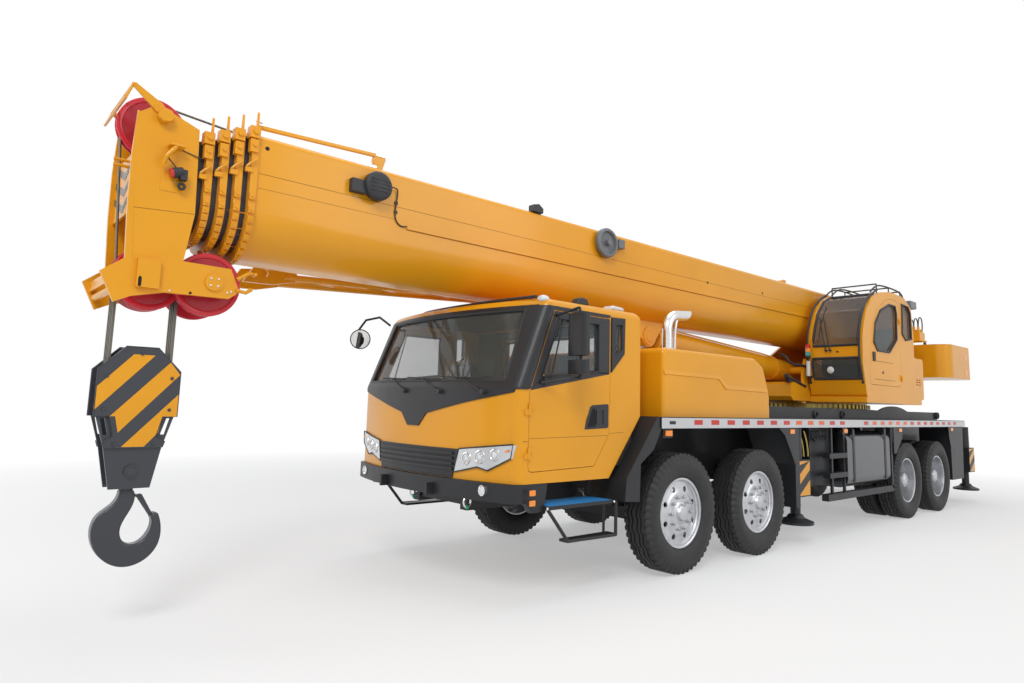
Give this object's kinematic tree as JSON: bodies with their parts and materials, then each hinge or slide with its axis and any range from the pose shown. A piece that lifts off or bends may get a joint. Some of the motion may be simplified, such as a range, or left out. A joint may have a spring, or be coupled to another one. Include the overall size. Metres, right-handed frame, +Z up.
{
  "type": "four-axle truck crane with telescopic boom",
  "caption": "Truck crane with a driver's cab, slewing operator's cab, nested telescopic boom, luffing cylinder, hook block, steered front axles, twin rear wheels and sliding outriggers.",
  "frame": {"origin": "on the ground, under the middle of the overall length and width", "axes": "+Z up, -Y towards the driver's cab and the boom head, +X to the vehicle's left"},
  "size_m": [3.182, 14.206, 3.7348],
  "materials": {
    "paint": "gloss",
    "chassis_black": "satin",
    "cast_iron": "matte",
    "glass": "clear",
    "lamp_glass": "clear",
    "cabin_plastic": "matte",
    "chrome": "polished",
    "brushed": "brushed",
    "sheave_red": "satin",
    "rope_steel": "braided",
    "block_grey": "satin",
    "tyre": "matte"
  },
  "bodies": {
    "carrier": {"chassis_frame": "chassis_black", "deck": "chassis_black", "cab_shell": "paint", "cab_glass": "glass", "cab_interior": "cabin_plastic", "front_bumper": "chassis_black", "cab_trim": "chassis_black", "mirror_right": "chassis_black", "lamps": "lamp_glass", "engine_hood": "paint", "engine": "cast_iron", "exhaust": "chrome", "tanks": "brushed", "axles": "cast_iron", "slew_ring": "cast_iron"},
    "door_left": {"door_left": "paint", "door_glass_left": "glass", "mirror_left": "chassis_black"},
    "door_right": {"door_right": "paint", "door_glass_right": "glass"},
    "superstructure": {"turntable": "paint", "operator_cab": "paint", "operator_glass": "glass", "operator_interior": "cabin_plastic", "counterweight": "paint", "winches": "paint"},
    "operator_door": {"operator_door": "paint", "operator_door_glass": "glass"},
    "boom_base": {"boom_base": "paint", "jib": "paint"},
    "boom_2": {"boom_2": "paint"},
    "boom_3": {"boom_3": "paint"},
    "boom_4": {"boom_4": "paint"},
    "boom_5": {"boom_5": "paint", "head_sheaves": "sheave_red"},
    "lift_barrel": {"lift_barrel": "paint"},
    "lift_rod": {"lift_rod": "chrome"},
    "hook_block": {"hoist_ropes": "rope_steel", "hook_block": "block_grey"},
    "hook": {"hook": "block_grey"},
    "outrigger_beam_front_left": {"outrigger_beam_front_left": "chassis_black"},
    "outrigger_jack_front_left": {"outrigger_jack_front_left": "chassis_black"},
    "outrigger_beam_front_right": {"outrigger_beam_front_right": "chassis_black"},
    "outrigger_jack_front_right": {"outrigger_jack_front_right": "chassis_black"},
    "outrigger_beam_rear_left": {"outrigger_beam_rear_left": "chassis_black"},
    "outrigger_jack_rear_left": {"outrigger_jack_rear_left": "chassis_black"},
    "outrigger_beam_rear_right": {"outrigger_beam_rear_right": "chassis_black"},
    "outrigger_jack_rear_right": {"outrigger_jack_rear_right": "chassis_black"},
    "knuckle_1_left": {"knuckle_1_left": "cast_iron"},
    "knuckle_1_right": {"knuckle_1_right": "cast_iron"},
    "knuckle_2_left": {"knuckle_2_left": "cast_iron"},
    "knuckle_2_right": {"knuckle_2_right": "cast_iron"},
    "wheel_1_left": {"wheel_1_left": "tyre"},
    "wheel_1_right": {"wheel_1_right": "tyre"},
    "wheel_2_left": {"wheel_2_left": "tyre"},
    "wheel_2_right": {"wheel_2_right": "tyre"},
    "wheel_3_left": {"wheel_3_left": "tyre"},
    "wheel_3_right": {"wheel_3_right": "tyre"},
    "wheel_4_left": {"wheel_4_left": "tyre"},
    "wheel_4_right": {"wheel_4_right": "tyre"}
  },
  "joints": [
    {"name": "slew", "type": "hinge", "parent": "carrier", "child": "superstructure", "pos_m": [0, 3.25, 1.712], "axis": [0, 0, 1], "continuous": true},
    {"name": "door_left_hinge", "type": "hinge", "parent": "carrier", "child": "door_left", "pos_m": [1.262, -4.18, 1.7], "axis": [0, 0, -1], "range_deg": [0, 65]},
    {"name": "door_right_hinge", "type": "hinge", "parent": "carrier", "child": "door_right", "pos_m": [-1.262, -4.18, 1.7], "axis": [0, 0, 1], "range_deg": [0, 65]},
    {"name": "operator_door_hinge", "type": "hinge", "parent": "superstructure", "child": "operator_door", "pos_m": [1.332, 3.655, 2.6], "axis": [0, 0, 1], "range_deg": [0, 85]},
    {"name": "boom_luff", "type": "hinge", "parent": "superstructure", "child": "boom_base", "pos_m": [0, 4.55, 3.05], "axis": [-1, 0, 0], "range_deg": [0, 80]},
    {"name": "lift_swing", "type": "hinge", "parent": "superstructure", "child": "lift_barrel", "pos_m": [0, 2.4, 2.22], "axis": [-1, 0, 0], "range_deg": [0, 91.23]},
    {"name": "lift_extend", "type": "slide", "parent": "lift_barrel", "child": "lift_rod", "axis": [0, -0.9978, 0.0656], "range_m": [0, 2.807]},
    {"name": "tele_2", "type": "slide", "parent": "boom_base", "child": "boom_2", "axis": [0, -1, 0], "range_m": [0, 8.15]},
    {"name": "tele_3", "type": "slide", "parent": "boom_2", "child": "boom_3", "axis": [0, -1, 0], "range_m": [0, 8.15]},
    {"name": "tele_4", "type": "slide", "parent": "boom_3", "child": "boom_4", "axis": [0, -1, 0], "range_m": [0, 8.15]},
    {"name": "tele_5", "type": "slide", "parent": "boom_4", "child": "boom_5", "axis": [0, -1, 0], "range_m": [0, 8.15]},
    {"name": "hook_swing", "type": "hinge", "parent": "boom_5", "child": "hook_block", "pos_m": [0, -6.755, 2.4], "axis": [-1, 0, 0], "range_deg": [-80, 0]},
    {"name": "hook_swivel", "type": "hinge", "parent": "hook_block", "child": "hook", "pos_m": [0, -6.755, 0.9], "axis": [0, 0, 1], "continuous": true},
    {"name": "beam_front_left", "type": "slide", "parent": "carrier", "child": "outrigger_beam_front_left", "axis": [1, 0, 0], "range_m": [0, 1.75]},
    {"name": "jack_front_left", "type": "slide", "parent": "outrigger_beam_front_left", "child": "outrigger_jack_front_left", "axis": [0, 0, -1], "range_m": [0, 0.6]},
    {"name": "beam_front_right", "type": "slide", "parent": "carrier", "child": "outrigger_beam_front_right", "axis": [-1, 0, 0], "range_m": [0, 1.75]},
    {"name": "jack_front_right", "type": "slide", "parent": "outrigger_beam_front_right", "child": "outrigger_jack_front_right", "axis": [0, 0, -1], "range_m": [0, 0.6]},
    {"name": "beam_rear_left", "type": "slide", "parent": "carrier", "child": "outrigger_beam_rear_left", "axis": [1, 0, 0], "range_m": [0, 1.75]},
    {"name": "jack_rear_left", "type": "slide", "parent": "outrigger_beam_rear_left", "child": "outrigger_jack_rear_left", "axis": [0, 0, -1], "range_m": [0, 0.6]},
    {"name": "beam_rear_right", "type": "slide", "parent": "carrier", "child": "outrigger_beam_rear_right", "axis": [-1, 0, 0], "range_m": [0, 1.75]},
    {"name": "jack_rear_right", "type": "slide", "parent": "outrigger_beam_rear_right", "child": "outrigger_jack_rear_right", "axis": [0, 0, -1], "range_m": [0, 0.6]},
    {"name": "steer_1_left", "type": "hinge", "parent": "carrier", "child": "knuckle_1_left", "pos_m": [0.98, -2.2, 0.575], "axis": [0, 0, 1], "range_deg": [-35, 35]},
    {"name": "steer_1_right", "type": "hinge", "parent": "carrier", "child": "knuckle_1_right", "pos_m": [-0.98, -2.2, 0.575], "axis": [0, 0, 1], "range_deg": [-35, 35]},
    {"name": "steer_2_left", "type": "hinge", "parent": "carrier", "child": "knuckle_2_left", "pos_m": [0.98, -0.75, 0.575], "axis": [0, 0, 1], "range_deg": [-26, 26]},
    {"name": "steer_2_right", "type": "hinge", "parent": "carrier", "child": "knuckle_2_right", "pos_m": [-0.98, -0.75, 0.575], "axis": [0, 0, 1], "range_deg": [-26, 26]},
    {"name": "wheel_1_left_spin", "type": "hinge", "parent": "knuckle_1_left", "child": "wheel_1_left", "pos_m": [1.2, -2.2, 0.575], "axis": [1, 0, 0], "continuous": true},
    {"name": "wheel_1_right_spin", "type": "hinge", "parent": "knuckle_1_right", "child": "wheel_1_right", "pos_m": [-1.2, -2.2, 0.575], "axis": [1, 0, 0], "continuous": true},
    {"name": "wheel_2_left_spin", "type": "hinge", "parent": "knuckle_2_left", "child": "wheel_2_left", "pos_m": [1.2, -0.75, 0.575], "axis": [1, 0, 0], "continuous": true},
    {"name": "wheel_2_right_spin", "type": "hinge", "parent": "knuckle_2_right", "child": "wheel_2_right", "pos_m": [-1.2, -0.75, 0.575], "axis": [1, 0, 0], "continuous": true},
    {"name": "wheel_3_left_spin", "type": "hinge", "parent": "carrier", "child": "wheel_3_left", "pos_m": [1.2, 3.725, 0.575], "axis": [1, 0, 0], "continuous": true},
    {"name": "wheel_3_right_spin", "type": "hinge", "parent": "carrier", "child": "wheel_3_right", "pos_m": [-1.2, 3.725, 0.575], "axis": [1, 0, 0], "continuous": true},
    {"name": "wheel_4_left_spin", "type": "hinge", "parent": "carrier", "child": "wheel_4_left", "pos_m": [1.2, 5.075, 0.575], "axis": [1, 0, 0], "continuous": true},
    {"name": "wheel_4_right_spin", "type": "hinge", "parent": "carrier", "child": "wheel_4_right", "pos_m": [-1.2, 5.075, 0.575], "axis": [1, 0, 0], "continuous": true}
  ],
  "couplings": [
    {"joint": "lift_swing", "follows": "boom_luff", "ratio": 1.1403},
    {"joint": "lift_extend", "follows": "boom_luff", "m_per_rad": 2.0097},
    {"joint": "hook_swing", "follows": "boom_luff", "ratio": -1},
    {"joint": "tele_4", "follows": "tele_3", "ratio": 1},
    {"joint": "tele_5", "follows": "tele_3", "ratio": 1},
    {"joint": "steer_1_right", "follows": "steer_1_left", "ratio": 1},
    {"joint": "steer_2_left", "follows": "steer_1_left", "ratio": 0.74},
    {"joint": "steer_2_right", "follows": "steer_1_left", "ratio": 0.74}
  ]
}
